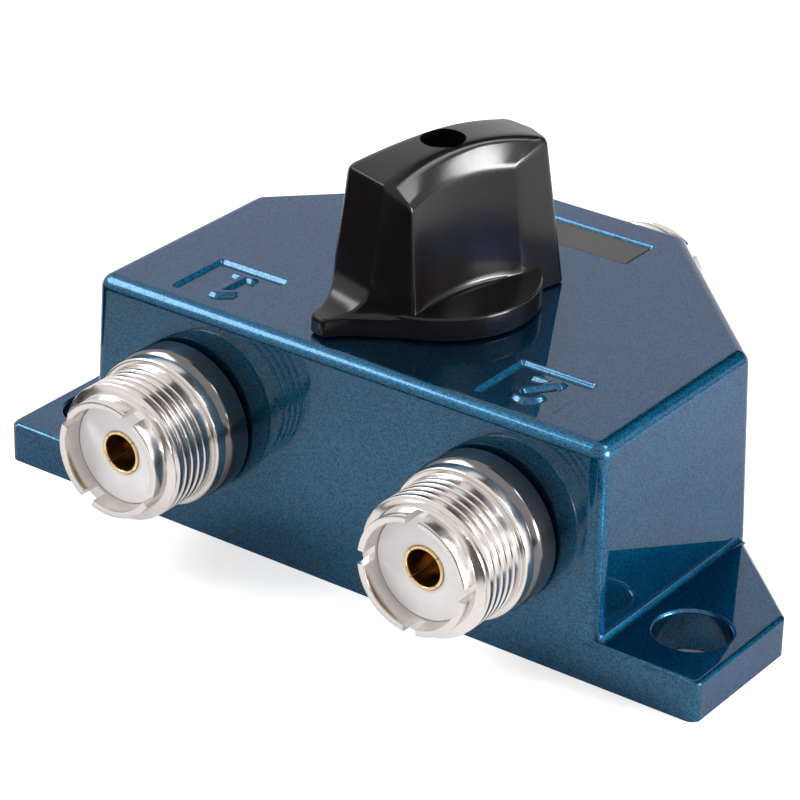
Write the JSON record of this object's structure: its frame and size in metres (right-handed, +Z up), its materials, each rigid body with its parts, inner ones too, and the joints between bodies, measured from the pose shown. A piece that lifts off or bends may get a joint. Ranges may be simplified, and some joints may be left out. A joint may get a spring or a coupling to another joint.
{
  "type": "coaxial antenna switch",
  "caption": "Small cast box with mounting ears, threaded coaxial sockets on two sides and a pointer knob on top that joins the rear socket to either front one.",
  "frame": {"origin": "on the base plane, on the spindle's axis", "axes": "+X along the front towards port 2, +Y towards the common socket at the back, +Z up along the spindle"},
  "size_m": [0.0926, 0.0776, 0.0458],
  "materials": {
    "paint": "metallic teal-blue flake paint over a finely textured casting",
    "plate": "blank black plate",
    "nickel": "bright nickel plate",
    "ring_black": "glossy black moulding",
    "white_insulator": "smooth white PTFE",
    "gold": "gold flash on brass",
    "brass": "plain brass and phosphor bronze",
    "steel": "zinc-plated steel",
    "amber_insulator": "paper-phenolic, brown",
    "knob_black": "satin-glossy black moulded plastic"
  },
  "bodies": {
    "case": {"housing": "paint", "bottom_cover": "steel", "cover_screws": "steel", "name_plate": "plate", "socket_shell_1": "nickel", "socket_shell_2": "nickel", "socket_shell_com": "nickel", "socket_ring_1": "ring_black", "socket_ring_2": "ring_black", "socket_ring_com": "ring_black", "socket_insulator_1": "white_insulator", "socket_insulator_2": "white_insulator", "socket_insulator_com": "white_insulator", "socket_contact_1": "gold", "socket_contact_2": "gold", "socket_contact_com": "gold", "socket_nut_1": "steel", "socket_nut_2": "steel", "socket_nut_com": "steel", "contact_strip_1": "brass", "contact_strip_2": "brass", "contact_strip_com": "brass", "spindle_bush": "brass", "bush_washer": "steel", "bush_nut": "brass", "detent_leaf": "steel", "detent_screws": "steel"},
    "rotor": {"knob": "knob_black", "knob_screw": "steel", "spindle": "steel", "spindle_clip": "steel", "rotor_clip": "steel", "rotor_collar": "brass", "rotor_hub": "amber_insulator", "rf_wiper": "brass", "ground_wiper": "brass", "detent_cam": "steel"}
  },
  "joints": [
    {"name": "knob_turn", "type": "hinge", "parent": "case", "child": "rotor", "pos_m": [0, 0, 0], "axis": [0, 0, 1], "range_deg": [0, 34], "deforming": ["detent_leaf"]}
  ]
}
